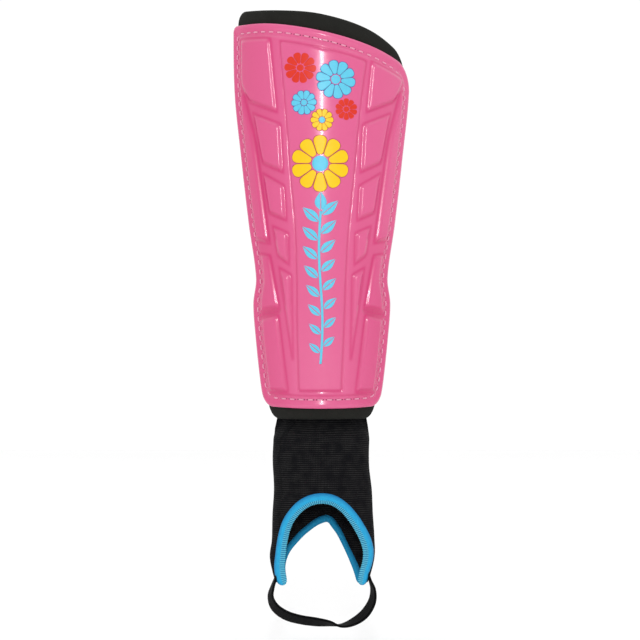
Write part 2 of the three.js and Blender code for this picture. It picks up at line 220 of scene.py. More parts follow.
def make_mesh(name, points, faces, cloth=None, painted_shade=None):
    """A smooth, outward-facing mesh; cloth holds millimetres along and across it, and the shade mask
    how much painted shade darkens each point.
    """
    mesh = bpy.data.meshes.new(name)
    mesh.from_pydata((np.asarray(points, float) * MM).tolist(), [], faces)
    for label, kind, field, values in (
        ("cloth", "FLOAT_VECTOR", "vector", cloth), ("painted_shade", "FLOAT", "value", painted_shade),
    ):
        if values is not None:
            attribute = mesh.attributes.new(label, kind, "POINT")
            attribute.data.foreach_set(field, np.asarray(values, np.float32).ravel())
    tidy = bmesh.new()
    tidy.from_mesh(mesh)
    bmesh.ops.recalc_face_normals(tidy, faces=tidy.faces)
    tidy.to_mesh(mesh)
    tidy.free()
    mesh.shade_smooth()
    obj = bpy.data.objects.new(name, mesh)
    scene.collection.objects.link(obj)
    return obj


def grid_faces(columns, rows, ring=False, back_step=1):
    """Faces of a closed sheet: the front grid's points first, then the back's."""
    back_rows = (rows - 1) // back_step + 1
    offset = columns * rows

    def front(i, j):
        return (i % columns) * rows + j

    def back(i, j):
        return offset + (i % columns) * back_rows + j

    faces = []
    spans = columns if ring else columns - 1
    for i in range(spans):
        for j in range(rows - 1):
            faces.append((front(i, j), front(i + 1, j), front(i + 1, j + 1), front(i, j + 1)))
        for j in range(back_rows - 1):
            faces.append((back(i, j), back(i, j + 1), back(i + 1, j + 1), back(i + 1, j)))
        faces.append((front(i, 0), back(i, 0), back(i + 1, 0), front(i + 1, 0)))
        top = back_rows - 1
        faces.append((front(i, rows - 1), front(i + 1, rows - 1), back(i + 1, top), back(i, top)))
    if not ring:
        for i in (0, columns - 1):
            for j in range(back_rows - 1):
                edge = [front(i, k) for k in range(j * back_step, (j + 1) * back_step + 1)]
                faces.append(tuple(edge + [back(i, j + 1), back(i, j)]))
    return faces


def sheet_mesh(name, front, back, ring=False, back_step=1, cloth=None, painted_shade=None):
    columns, rows = front.shape[:2]
    points = np.concatenate([front.reshape(-1, 3), back.reshape(-1, 3)])
    if cloth is not None:
        cloth = np.concatenate([cloth.reshape(-1, 3), cloth[:, ::back_step].reshape(-1, 3)])
    if painted_shade is not None:
        painted_shade = np.concatenate([painted_shade.ravel(), painted_shade[:, ::back_step].ravel()])
    return make_mesh(name, points, grid_faces(columns, rows, ring, back_step), cloth, painted_shade)


class Pile:
    """Collects many small closed bodies that become one mesh."""

    def __init__(self):
        self.points = []
        self.faces = []
        self.materials = []
        self.count = 0

    def add(self, points, faces, material=0):
        points = np.asarray(points, float).reshape(-1, 3)
        self.points.append(points)
        self.faces.extend(tuple(self.count + k for k in face) for face in faces)
        self.materials.extend([material] * len(faces))
        self.count += len(points)

    def add_sheet(self, front, back):
        points = np.concatenate([front.reshape(-1, 3), back.reshape(-1, 3)])
        self.add(points, grid_faces(*front.shape[:2]))

    def add_tube(self, rings, material=0):
        """A closed tube through rings of points, capped at both ends."""
        self.add(rings, tube_faces(*rings.shape[:2]), material)

    def mesh(self, name):
        obj = make_mesh(name, np.concatenate(self.points), self.faces)
        obj.data.polygons.foreach_set("material_index", self.materials)
        return obj


def tube_faces(count, sides):
    faces = []
    for i in range(count - 1):
        for k in range(sides):
            here, there = i * sides, (i + 1) * sides
            n = (k + 1) % sides
            faces.append((here + k, here + n, there + n, there + k))
    faces.append(tuple(range(sides)))
    faces.append(tuple((count - 1) * sides + k for k in range(sides)))
    return faces


def cloth_map(along, across):
    """The cloth attribute of a grid, from millimetres along and across it."""
    return np.stack([*np.broadcast_arrays(along, across), 0 * along + 0 * across], axis=-1)


def along_line(points):
    """Running length at each point of a line."""
    steps = np.linalg.norm(np.diff(points, axis=0), axis=1)
    return np.concatenate([[0], np.cumsum(steps)])


def resample(points, at):
    length = along_line(points)
    return np.stack([np.interp(at, length, points[:, k]) for k in range(3)], axis=-1)


def edge_steps(edges, inner):
    """Positions from 0 to 1 with extra ones close to both ends."""
    edges = np.asarray(edges, float)
    middle = np.linspace(edges[-1], 1 - edges[-1], inner)
    return np.concatenate([edges[:-1], middle, 1 - edges[-2::-1]])


# ---- Materials ----

# Colours are linear red, green and blue.
PINK = (0.69, 0.100, 0.26)
# painted shade: the deeper pink laid into grooves, recesses, downward slopes and the sides of the
# shell
PINK_PAINTED_SHADE = (0.57, 0.008, 0.135)
PINK_CLOUD = (0.67, 0.08, 0.23)
PINK_RUBBED = (0.86, 0.20, 0.40)
FOAM_DARK = (0.008, 0.0082, 0.0068)
FOAM_LIGHT = (0.016, 0.0163, 0.0138)
FOAM_DUST = (0.035, 0.035, 0.032)
LINING_DARK = (0.010, 0.0105, 0.012)
LINING_LOOP = (0.026, 0.027, 0.030)
LINING_NAP = (0.016, 0.016, 0.018)
KNIT_GAP = (0.0008, 0.0008, 0.0012)
KNIT_STITCH = (0.032, 0.031, 0.032)
KNIT_PATCH = (0.0035, 0.0035, 0.0050)
KNIT_LINT = (0.10, 0.10, 0.10)
WEBBING_DARK = (0.004, 0.004, 0.005)
WEBBING_LIGHT = (0.016, 0.016, 0.018)
STIRRUP_DARK = (0.0010, 0.0010, 0.0012)
STIRRUP_LIGHT = (0.0034, 0.0034, 0.0040)
HOOK_TONES = ((0.008, 0.008, 0.009), (0.05, 0.05, 0.055))
LOOP_TONES = ((0.010, 0.010, 0.011), (0.04, 0.04, 0.043))
# The blue of a binding: its cloth, a darker blue (its mottle, the ground between the overcast
# stitches and painted shade along the roll's outer edge) and its overcast thread.
FRONT_BLUES = ((0.022, 0.43, 0.74), (0.004, 0.13, 0.36), (0.12, 0.55, 0.68))
BACK_BLUES = ((0.010, 0.30, 0.55), (0.005, 0.17, 0.36), (0.012, 0.28, 0.48))
FLOOR_TONES = ((0.93, 0.93, 0.93), (0.96, 0.96, 0.96))
SHEEN_ROUGHNESS = 0.45


class Finish:
    """A node material built round one Principled shader."""

    def __init__(self, name):
        self.material = bpy.data.materials.new(name)
        self.material.use_nodes = True
        self.tree = self.material.node_tree
        self.shader = self.tree.nodes["Principled BSDF"]
        self.position = self.node("ShaderNodeTexCoord").outputs["Object"]

    def node(self, kind, inputs=None, **settings):
        made = self.tree.nodes.new(kind)
        for key, value in settings.items():
            setattr(made, key, value)
        for key, value in (inputs or {}).items():
            self.put(made.inputs[key], value)
        return made

    def put(self, socket, value):
        if isinstance(value, bpy.types.NodeSocket):
            self.tree.links.new(value, socket)
        else:
            socket.default_value = value

    def set(self, **values):
        for key, value in values.items():
            self.put(self.shader.inputs[key.replace("_", " ")], value)

    def math(self, operation, a, b=0.0, c=0.0):
        return self.node("ShaderNodeMath", {0: a, 1: b, 2: c}, operation=operation).outputs[0]

    def noise(self, size, detail):
        """Noise whose features are about size millimetres across."""
        inputs = {"Vector": self.position, "Scale": 1 / (size * MM), "Detail": detail}
        return self.node("ShaderNodeTexNoise", inputs).outputs["Fac"]

    def cells(self, size):
        """Distance from the middle of cells about size millimetres across."""
        inputs = {"Vector": self.position, "Scale": 1 / (size * MM)}
        return self.node("ShaderNodeTexVoronoi", inputs).outputs["Distance"]

    def attribute(self, name, output="Fac"):
        return self.node("ShaderNodeAttribute", attribute_name=name).outputs[output]

    def cloth(self):
        """Millimetres along and across the cloth, as two sockets."""
        split = self.node("ShaderNodeSeparateXYZ", {0: self.attribute("cloth", "Vector")})
        return split.outputs[0], split.outputs[1]

    def ripple(self, at, pitch):
        """A wave between 0 and 1 that repeats every pitch, in the units of at."""
        wave = self.math("SINE", self.math("MULTIPLY", at, 2 * math.pi / pitch))
        return self.math("MULTIPLY_ADD", wave, 0.5, 0.5)

    def between(self, low, high, factor, start=0.0, stop=1.0):
        """A number that runs from low to high as the factor runs from start to stop."""
        inputs = {
            "Value": factor, "From Min": start, "From Max": stop, "To Min": low, "To Max": high,
        }
        return self.node("ShaderNodeMapRange", inputs).outputs[0]

    def mix(self, first, second, factor):
        """The first colour where the factor is 0 and the second where it is 1."""
        made = self.node("ShaderNodeMix", {0: factor}, data_type="RGBA")
        for socket, colour in ((6, first), (7, second)):
            self.put(made.inputs[socket], (*colour, 1) if isinstance(colour, tuple) else colour)
        return made.outputs[2]

    def soft_goods(self, specular, sheen):
        """Cloth and foam reflect little, with a faint nap."""
        self.shader.inputs["Specular IOR Level"].default_value = specular
        self.shader.inputs["Sheen Weight"].default_value = sheen
        self.shader.inputs["Sheen Roughness"].default_value = SHEEN_ROUGHNESS

    def bump(self, height, depth, normal=None):
        """Relief of the given depth in millimetres from a height between 0 and 1."""
        inputs = {"Height": height, "Distance": depth * MM, "Strength": 1.0}
        if normal is not None:
            inputs["Normal"] = normal
        return self.node("ShaderNodeBump", inputs).outputs[0]


def moulded_plastic():
    """Glossy pink plastic: darkened with painted shade in its recesses, on downward slopes and
    towards its sides, rubbed paler along its crests.
    """
    f = Finish("moulded_pink")
    # painted shade: the deeper pink follows the shade mask that hard_shell stores on the mesh
    colour = f.mix(PINK, PINK_PAINTED_SHADE, f.attribute("painted_shade"))
    colour = f.mix(colour, PINK_CLOUD, f.between(0.0, 0.35, f.noise(38, 3)))
    crest = f.node("ShaderNodeNewGeometry").outputs["Pointiness"]
    colour = f.mix(colour, PINK_RUBBED, f.between(0.0, 0.06, crest, 0.52, 0.62))
    f.set(Base_Color=colour, Roughness=f.between(0.16, 0.30, f.noise(6, 4)))
    f.set(Normal=f.bump(f.noise(7, 2), 0.05, f.bump(f.noise(0.9, 2), 0.006)))
    f.shader.inputs["Coat Weight"].default_value = 0.35
    f.shader.inputs["Coat Roughness"].default_value = 0.08
    return f.material


def printed_ink(name, colour, shade):
    """Screen-printed ink: flat, a little mottled, with a fine grain."""
    f = Finish(name)
    mottle = f.between(0.0, 0.6, f.noise(2.2, 4))
    f.set(Base_Color=f.mix(colour, shade, mottle))
    f.set(Roughness=f.between(0.24, 0.42, f.noise(1.1, 3)))
    f.set(Normal=f.bump(f.noise(0.5, 2), 0.01))
    f.shader.inputs["Specular IOR Level"].default_value = 0.28
    return f.material


def sewing_thread(name, colour, shade):
    """Twisted thread."""
    f = Finish(name)
    split = f.node("ShaderNodeSeparateXYZ", {0: f.position})
    slant = f.math("ADD", split.outputs[0], split.outputs[2])
    twist = f.ripple(slant, 0.55 * MM)
    f.set(Base_Color=f.mix(shade, colour, twist), Roughness=f.between(0.55, 0.75, twist))
    f.set(Normal=f.bump(twist, 0.08))
    f.soft_goods(0.2, 0.1)
    return f.material


def cut_foam():
    """Closed-cell foam: matt, with fine cells and faint dust."""
    f = Finish("cut_foam")
    colour = f.mix(FOAM_DARK, FOAM_LIGHT, f.noise(9, 4))
    dust = f.between(0.0, 0.25, f.noise(1.3, 3), 0.62, 0.8)
    f.set(Base_Color=f.mix(colour, FOAM_DUST, dust))
    f.set(Roughness=f.between(0.72, 0.92, f.noise(3, 3)))
    f.set(Normal=f.bump(f.noise(5, 3), 0.25, f.bump(f.cells(0.7), 0.06)))
    f.soft_goods(0.16, 0.02)
    return f.material


def brushed_lining():
    """Warp-knitted lining: a fine diamond of loops with a soft nap."""
    f = Finish("brushed_lining")
    along, across = f.cloth()
    one = f.ripple(f.math("ADD", along, across), 1.3)
    two = f.ripple(f.math("SUBTRACT", along, across), 1.3)
    loops = f.math("MULTIPLY", one, two)
    shade = f.mix(LINING_DARK, LINING_LOOP, loops)
    f.set(Base_Color=f.mix(shade, LINING_NAP, f.noise(4, 4)))
    f.set(Roughness=f.between(0.8, 0.95, loops))
    f.set(Normal=f.bump(f.noise(0.6, 3), 0.12, f.bump(loops, 0.22)))
    f.soft_goods(0.15, 0.12)
    return f.material


def elastic_webbing(name, rib, colour, light):
    """Woven elastic: ribs along its length, crossed by fine picks."""
    f = Finish(name)
    along, across = f.cloth()
    ribs = f.ripple(across, rib)
    picks = f.ripple(f.math("ADD", along, f.math("MULTIPLY", ribs, 0.25)), 0.75)
    weave = f.math("MULTIPLY", ribs, f.between(0.55, 1.0, picks))
    shade = f.mix(colour, light, weave)
    f.set(Base_Color=f.mix(shade, light, f.between(0.0, 0.25, f.noise(2.5, 4))))
    f.set(Roughness=f.between(0.6, 0.85, weave))
    f.set(Normal=f.bump(weave, 0.28, f.bump(f.noise(0.3, 2), 0.05)))
    f.soft_goods(0.05, 0.006)
    return f.material


def fastening_tape(name, size, depth, colour, light, sheen):
    """Hook or loop tape: a field of fine upright threads."""
    f = Finish(name)
    dots = f.cells(size)
    f.set(Base_Color=f.mix(light, colour, dots), Roughness=f.between(0.7, 0.95, dots))
    f.set(Normal=f.bump(f.noise(size, 3), depth / 2, f.bump(dots, -depth)))
    f.soft_goods(0.15, sheen)
    return f.material


def ribbed_knit():
    """Black sock knit: level courses crossed by wales, with stray lint."""
    f = Finish("ribbed_knit")
    along, up = f.cloth()
    drift = f.math("MULTIPLY", f.noise(14, 2), 0.9)
    course = f.ripple(f.math("ADD", up, drift), 1.15)
    wale = f.ripple(along, 1.0)
    stitch = f.math("MULTIPLY", course, f.between(0.6, 1.0, wale))
    shade = f.mix(KNIT_GAP, KNIT_STITCH, stitch)
    shade = f.mix(shade, KNIT_PATCH, f.between(0.0, 0.75, f.noise(4.5, 6), 0.36, 0.64))
    lint = f.between(0.0, 0.5, f.noise(0.8, 1), 0.76, 0.84)
    f.set(Base_Color=f.mix(shade, KNIT_LINT, lint))
    f.set(Roughness=f.between(0.75, 0.95, stitch))
    f.set(Normal=f.bump(stitch, 0.4, f.bump(f.noise(0.5, 3), 0.10)))
    f.soft_goods(0.06, 0.008)
    return f.material


def blue_binding(name, colour, shade, stitched):
    """Folded stretch binding, overcast along its inner part, with painted shade along its outer
    edge.
    """
    f = Finish(name)
    along, inward = f.cloth()
    ribs = f.ripple(along, BINDING_RIB)
    fine = f.ripple(along, 0.4)
    tone = f.mix(shade, colour, f.between(0.55, 1.0, f.noise(3, 3)))
    # painted shade: the roll darkens towards its outer edge, as if rounding away from the light
    tone = f.mix(tone, shade, f.between(0.85, 0.0, inward, -1.0, -0.1))
    overcast = f.mix(shade, stitched, f.math("POWER", ribs, 0.8))
    f.set(Base_Color=f.mix(tone, overcast, f.between(0.0, 1.0, inward, 0.25, 0.45)))
    f.set(Roughness=f.between(0.5, 0.72, fine))
    f.set(Normal=f.bump(fine, 0.05, f.bump(f.noise(0.4, 3), 0.05)))
    f.soft_goods(0.2, 0.04)
    return f.material


def pale_floor():
    """A white floor with the faintest unevenness."""
    f = Finish("pale_floor")
    tone = f.mix(*FLOOR_TONES, f.noise(300, 3))
    f.set(Base_Color=tone, Roughness=f.between(0.75, 0.85, f.noise(80, 3)))
    f.set(Normal=f.bump(f.noise(30, 2), 0.2))
    return f.material


def wear(obj, *materials):
    """Give a piece its materials, in slot order."""
    for material in materials:
        obj.data.materials.append(material)
    return obj


# ---- Hard shell ----

BODY_START = 6.5  # inset at which the flange steps up to the body
PANEL_START = 7.9
BODY_HEIGHT = 0.9
PANEL_HEIGHT = 1.45
PANEL_BEVEL = 2.8
RIM_ROUND = 0.9

# Raised side panels of one side, as corners (x, z) seen from the front.
SIDE_PANELS = [
    [(-44, 74), (-44, 112), (-28.8, 112), (-23.6, 56.6), (-39.4, 63.4)],
    [(-37.4, 57.8), (-21.7, 50.9), (-20.3, 23.6), (-32.2, 29.4)],
    [(-32.0, 24.8), (-19.8, 17.4), (-18.6, -2.6), (-28.6, 2.0)],
    [(-26.6, -4.4), (-17.6, -8.4), (-17.2, -26.6), (-23.8, -21.4)],
    [(-23.0, -27.0), (-16.0, -31.2), (-15.0, -78.0), (-15.9, -78.0)],
    [(-42.0, -17.6), (-27.4, -20.4), (-22.2, -49.8), (-42.0, -55.0)],
    [(-42.0, -57.9), (-22.9, -52.9), (-17.6, -96.3), (-42.0, -96.3)],
]
SIDE_RIDGE = [
    (-44.6, 70), (-41.9, 69.5), (-35.2, 43), (-29.2, 0), (-27.4, -14.6),
    (-36.4, -12.6), (-38.6, 0), (-42.4, 37),
]
NOTCH = [(-42, -55.0), (-42, -57.7), (-21.8, -52.4), (-21.8, -49.7)]
RIDGE_HEIGHT = 1.75
RIDGE_BEVEL = 2.9
NOTCH_DEPTH = 0.8
CENTRE_LEFT = profile([
    (-94, -12.4), (-64, -13.2), (-11, -14), (22, -16.7), (49, -18.7), (96, -22.7),
])
CENTRE_RIGHT = profile([
    (-90, 10.6), (-57, 12), (-24, 13.2), (-11, 14), (16, 16.6), (43, 19.2), (61, 20.9), (86, 24.3),
])
CENTRE_BOTTOM = -96.6
CENTRE_TOP_INSET = 9.4
CENTRE_RAISE = 0.3
GROOVE_DEPTH = 0.5
EDGE_BEAD = 0.38
BEAD_INSET = 2.0
STITCH_CHANNEL = 0.3

# How much painted shade darkens the pink, from 0 to 1, in each kind of place on the moulding.
BETWEEN_PANELS = 0.12
IN_NOTCH = 0.5
IN_GROOVE = 0.6
AT_FOOT = 0.6
AT_SIDES = 0.5
ON_DOWNWARD_SLOPES = 0.9


def unrolled(x, z):
    """Distance round the surface from the centre line to a point seen at x."""
    radius = arc_radius(z)
    return radius * np.arcsin(np.clip(x / radius, -0.999, 0.999))


def soft_max(a, b, softness=1.8):
    """The larger of two distances, rounded where they meet."""
    return np.logaddexp(a * softness, b * softness) / softness


def panel_distance(s, z, corners):
    """Distance outside a convex panel with softened corners; negative inside it."""
    flat = [(float(unrolled(x, height)), height) for x, height in corners]
    sides = list(zip(flat, flat[1:] + flat[:1]))
    area = sum(a[0] * b[1] - b[0] * a[1] for a, b in sides)
    distance = None
    for (s0, z0), (s1, z1) in sides:
        length = math.hypot(s1 - s0, z1 - z0)
        out = math.copysign(1 / length, area)
        side = ((s - s0) * (z1 - z0) - (z - z0) * (s1 - s0)) * out
        distance = side if distance is None else soft_max(distance, side)
    return distance


def centre_distance(s, z, inset):
    """Distance outside the centre panel; negative inside it."""
    left = unrolled(CENTRE_LEFT(z), z) - s
    right = s - unrolled(CENTRE_RIGHT(z), z)
    distance = soft_max(left, right)
    distance = soft_max(distance, CENTRE_BOTTOM - z)
    return soft_max(distance, CENTRE_TOP_INSET - inset)


def shell_relief(across, z):
    """Height of the moulding over the flange face, and how much painted shade darkens it."""
    inset = outline_inset(across, z, *SHELL_OUTLINE)
    s = across * girth(z)
    mirrored = -np.abs(s)
    height = BODY_HEIGHT * smoothstep(BODY_START, PANEL_START, inset)
    body = height.copy()
    foot = 0 * height
    for corners in SIDE_PANELS:
        distance = soft_max(panel_distance(mirrored, z, corners), PANEL_START - inset)
        height = height + PANEL_HEIGHT * smoothstep(0, PANEL_BEVEL, -distance)
        foot = np.maximum(foot, ridge_at(distance + 0.2, 0.75))
    distance = soft_max(panel_distance(mirrored, z, SIDE_RIDGE), BODY_START - inset)
    height = height + RIDGE_HEIGHT * smoothstep(0, RIDGE_BEVEL, -distance)
    foot = np.maximum(foot, ridge_at(distance + 0.2, 0.9))
    notch = panel_distance(mirrored, z, NOTCH)
    cut = smoothstep(-0.6, 1.1, -notch) * smoothstep(5.2, 7.0, inset)
    height = height - NOTCH_DEPTH * cut
    centre = centre_distance(s, z, inset)
    groove = ridge_at(centre, 0.62)
    height = height + CENTRE_RAISE * smoothstep(0, 1.4, -centre) - GROOVE_DEPTH * groove
    height = height + EDGE_BEAD * ridge_at(inset - BEAD_INSET, 0.75)
    height = height - STITCH_CHANNEL * ridge_at(inset - STITCH_INSET, 0.9)
    # painted shade: the low ground between panels, the notch, the centre groove and the foot of each
    # panel are darkened
    between = np.clip(1 - (height - body) / (0.7 * PANEL_HEIGHT), 0, 1)
    between = between * smoothstep(1.5, 4.5, centre) * smoothstep(6.5, 8.5, inset)
    painted_shade = BETWEEN_PANELS * between + IN_NOTCH * cut + IN_GROOVE * groove + AT_FOOT * foot
    # painted shade: darker towards both sides, more on the left than on the upper right
    side_shade = np.where(across < 0, AT_SIDES, AT_SIDES - 0.4 * smoothstep(-50, 10, z))
    painted_side_shade = smoothstep(0.3, 0.8, np.abs(across)) * side_shade
    return height, np.clip(np.clip(painted_shade, 0, 1) + painted_side_shade, 0, 1)


def shell_surface(x, z, lift):
    """Points on the moulded face, seen at x from the front, lifted off it a little."""
    across = across_at(x, z)
    height, _ = shell_relief(across, z)
    return guard_point(across, z, -height - lift)


def hard_shell():
    columns = edge_steps([0, 0.0012, 0.004, 0.008, 0.013], 187)
    rows = edge_steps([0, 0.0007, 0.0021, 0.0043, 0.007], 337)
    across, z, inset = layer_grid(columns, rows, SHELL_OUTLINE)
    height, painted_shade = shell_relief(across, z)
    # painted shade: slopes of the moulding that face downwards are darkened further
    downward_shade = np.gradient(height, axis=1) / np.gradient(z, axis=1)
    downward_shade = np.clip(downward_shade, 0, 0.8) * smoothstep(5, 7, inset)
    painted_shade = np.clip(painted_shade + ON_DOWNWARD_SLOPES * downward_shade, 0, 1)
    height = height - corner_drop(RIM_ROUND, inset)
    front = guard_point(across, z, -height)
    back_step = 8
    back = guard_point(across, z, SHELL_BACK + 0 * z)[:, ::back_step]
    obj = sheet_mesh("hard_shell_moulding", front, back, back_step=back_step, painted_shade=painted_shade)
    wear(obj, moulded_plastic())
    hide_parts("hard_shell")
    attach(obj, "guard")


# ---- Printed flowers and leaves ----

INK_LIFT = 0.09
OUTLINE_LIFT = 0.045
OUTLINE = 0.3
INK_ROOT = 0.15
NARROWEST = 0.02  # half width at which a pointed end is closed

# Centre (x, z), radius, petal colour, disc colour, disc radius as a share, turn in degrees.
FLOWERS = [
    (-11.5, 81.1, 8.5, "red", "red", 0.22, 22),
    (7.4, 74.7, 10.4, "blue", "blue", 0.24, 28),
    (-9.5, 62.1, 6.6, "blue", "blue", 0.24, 16),
    (13.0, 58.5, 5.9, "red", "red", 0.26, 0),
    (0.1, 52.6, 6.0, "yellow", "blue", 0.27, 18),
    (-0.9, 28.9, 15.3, "yellow", "blue", 0.28, 0),
]
PETALS = 10
PETAL_GAP = 0.05  # between the disc and a petal, as a share of the flower's radius

# Colour and mottling of each ink, and of the line round the petals of some.
INKS = {
    "red": ((0.70, 0.036, 0.016), (0.60, 0.022, 0.010)),
    "blue": ((0.12, 0.58, 0.78), (0.09, 0.48, 0.68)),
    "yellow": ((0.93, 0.58, 0.004), (0.85, 0.49, 0.004)),
}
OUTLINE_INKS = {
    "blue": ((0.11, 0.10, 0.36), (0.16, 0.08, 0.30)),
    "yellow": ((0.40, 0.06, 0.10), (0.50, 0.10, 0.08)),
}

# The climbing stem that stands in the middle of the shell.
STEM_TOP = 3.0
STEM_BOTTOM = -80.0
STEM_X = -0.6
STEM_WIDTH = 1.3
STEM_SWAY = 0.9
STEM_WAVE = 13
LEAF_PAIRS = 8
LEAF_SPACING = 10.2
LEAF_ANGLE = math.radians(48)
LEAF_MIDRIB = 0.2  # half width of the gap left down the middle of a leaf


def ink_patch(pile, x, z, lift=INK_LIFT):
    """A thin layer of ink that follows the moulding under it."""
    pile.add_sheet(shell_surface(x, z, lift), shell_surface(x, z, -INK_ROOT))


def petal(pile, centre, radius, start, turn, spread, extra=0.0, lift=INK_LIFT):
    """One petal: narrow at the disc, broad and round at its tip, grown by extra."""
    v = edge_steps([0, 0.003, 0.01, 0.022, 0.04, 0.065, 0.10], 9)[None, :]
    u = np.linspace(-1, 1, 9)[:, None]
    reach = lerp(start - extra, radius + extra, v)
    half = math.tan(math.radians(180 / PETALS)) * reach * spread + extra
    tip = np.clip((v - 0.62) / 0.38, 0, 1)
    root = np.clip((0.14 - v) / 0.14, 0, 1)
    half = half * np.sqrt(np.clip(1 - tip**2, 0, 1)) * np.sqrt(np.clip(1 - 0.7 * root**2, 0, 1))
    half = np.maximum(half, NARROWEST)
    sideways = u * half
    outward = reach + 0 * u
    c, s = math.cos(turn), math.sin(turn)
    x = centre[0] + outward * s + sideways * c
    ink_patch(pile, x, centre[1] + outward * c - sideways * s, lift)


def disc(pile, centre, radius):
    turns = np.linspace(0, math.pi, 25)[None, :]
    u = np.linspace(-1, 1, 9)[:, None]
    half = np.maximum(radius * np.sin(turns), NARROWEST)
    ink_patch(pile, centre[0] + u * half, centre[1] - radius * np.cos(turns) + 0 * u)


def leaf(pile, x, z, length, width, turn):
    """A leaf in two halves that leave its midrib bare."""
    v = np.linspace(0, 1, 11)[None, :]
    bulge = width / 2 * np.sin(math.pi * v**0.8)
    c, s = math.cos(turn), math.sin(turn)
    for side in (-1, 1):
        u = np.linspace(0, 1, 5)[:, None]
        sideways = side * (LEAF_MIDRIB + u * np.maximum(bulge - LEAF_MIDRIB, NARROWEST))
        outward = length * v + 0 * u
        ink_patch(pile, x + outward * s + sideways * c, z + outward * c - sideways * s)


def leaf_stem(pile):
    """A climbing stem with paired leaves, down the middle of the shell."""
    def stem_x(z):
        return STEM_SWAY * np.sin((z - STEM_TOP) / STEM_WAVE) + STEM_X

    heights = np.linspace(STEM_BOTTOM, STEM_TOP, 60)[None, :]
    u = np.linspace(-0.5, 0.5, 4)[:, None]
    ink_patch(pile, stem_x(heights) + u * STEM_WIDTH, heights + 0 * u)
    leaf(pile, STEM_X, STEM_TOP + 0.6, 10.0, 6.4, 0.0)
    for k in range(LEAF_PAIRS):
        z = STEM_TOP - 2 - k * LEAF_SPACING
        length = lerp(11.5, 8.0, k / (LEAF_PAIRS - 1))
        for side, drop in ((1, 0), (-1, 3.6)):
            leaf(pile, stem_x(z) + 0.9 * side, z - drop, length, length * 0.46, side * LEAF_ANGLE)


def prints():
    piles = {colour: Pile() for colour in INKS}
    outlines = {colour: Pile() for colour in OUTLINE_INKS}
    for x, z, radius, petals, heart, share, turn in FLOWERS:
        disc_radius = share * radius
        start = disc_radius + PETAL_GAP * radius
        spread = 0.9 if radius > 12 else 0.93
        for k in range(PETALS):
            shape = (radius, start, math.radians(turn + k * 360 / PETALS), spread)
            petal(piles[petals], (x, z), *shape)
            if petals in outlines:
                petal(outlines[petals], (x, z), *shape, OUTLINE, OUTLINE_LIFT)
        disc(piles[heart], (x, z), disc_radius)
    leaf_stem(piles["blue"])
    for made, inks, ink_name, piece_name in (
        (piles, INKS, "ink", "print"), (outlines, OUTLINE_INKS, "outline", "print_outline"),
    ):
        for colour, pile in made.items():
            ink = printed_ink(f"{ink_name}_{colour}", *inks[colour])
            obj = wear(pile.mesh(f"{piece_name}_{colour}"), ink)
            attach(obj, "guard")


# ---- Stitching round the edge ----

FACE_THREAD_DEPTH = 0.3  # the thread lies in a shallow channel
HOLE_SMALL = 0.14
HOLE_LARGE = 0.34
HOLE_FADE = (12, 28)  # distances from the centre line over which the holes get smaller
HOLE_BEYOND = 0.25  # how far past the end of a stitch its hole lies


def edge_loop(inset, depth):
    """Points once round the guard at a distance in from the shell's edge."""
    def row(across, heights):
        return guard_point(across * (1 - inset / girth(heights)), heights, depth)

    across = -np.cos(np.linspace(0, math.pi, 90))
    low, high = edge_heights(across, *SHELL_OUTLINE)
    top_z, bottom_z = high - inset, low + inset
    climb = np.linspace(0, 1, 120)[1:-1]
    top = row(across, top_z)
    right = row(1, lerp(top_z[-1], bottom_z[-1], climb))
    bottom = row(across, bottom_z)[::-1]
    left = row(-1, lerp(bottom_z[0], top_z[0], climb))
    return np.concatenate([top, right, bottom, left, top[:1]])


def outward_at(points):
    """Directions that point out of the guard at points close to its surface."""
    radius = arc_radius(points[:, 2])
    centre = front_line(points[:, 2]) + radius
    out = np.stack([points[:, 0], points[:, 1] - centre, 0 * radius], axis=-1)
    return out / np.linalg.norm(out, axis=1, keepdims=True)


def stitch(pile, line, out, thickness, sink, material=0):
    """One visible stitch: a thread that rises out of one hole and into the next."""
    count, sides = len(line), 8
    along = np.gradient(line, axis=0)
    along /= np.linalg.norm(along, axis=1, keepdims=True)
    sideways = np.cross(along, out)
    t = np.linspace(-1, 1, count)
    fall = sink * t**6
    swell = thickness / 2 * (1 - 0.35 * t**4)
    turns = np.linspace(0, 2 * math.pi, sides, endpoint=False)
    rings = line[:, None, :] - (out * fall[:, None])[:, None, :]
    rings = rings + sideways[:, None, :] * (swell[:, None] * np.cos(turns))[:, :, None] * 1.15
    rings = rings + out[:, None, :] * (swell[:, None] * np.sin(turns))[:, :, None]
    pile.add_tube(rings, material)


def stitch_row(pile, line, count, share, thickness, sink):
    """Stitches on the leg side of the guard; share says where in its pitch each one runs."""
    total = along_line(line)[-1]
    for k in range(count):
        short = resample(line, total * (k + share) / count)
        stitch(pile, short, -outward_at(short), thickness, sink)


def needle_holes(pile, line, out, material):
    """Small dark discs at the ends of a stitch, largest near the guard's centre line: painted shade
    standing in for the shadow inside each needle hole.
    """
    turns = np.linspace(0, 2 * math.pi, 12, endpoint=False)
    for end, inner, way in ((0, 1, -1), (-1, -2, 1)):
        along = way * (line[end] - line[inner])
        along = along / np.linalg.norm(along)
        sideways = np.cross(along, out[end])
        centre = line[end] + along * way * HOLE_BEYOND
        radius = lerp(HOLE_LARGE, HOLE_SMALL, smoothstep(*HOLE_FADE, abs(centre[0])))
        circle = np.cos(turns)[:, None] * along + np.sin(turns)[:, None] * sideways
        rings = [
            centre + out[end] * lift + radius * size * circle
            for lift, size in ((-0.33, 0.9), (0.04, 1.0), (0.07, 0.85))
        ]
        pile.add_tube(np.array(rings), material)


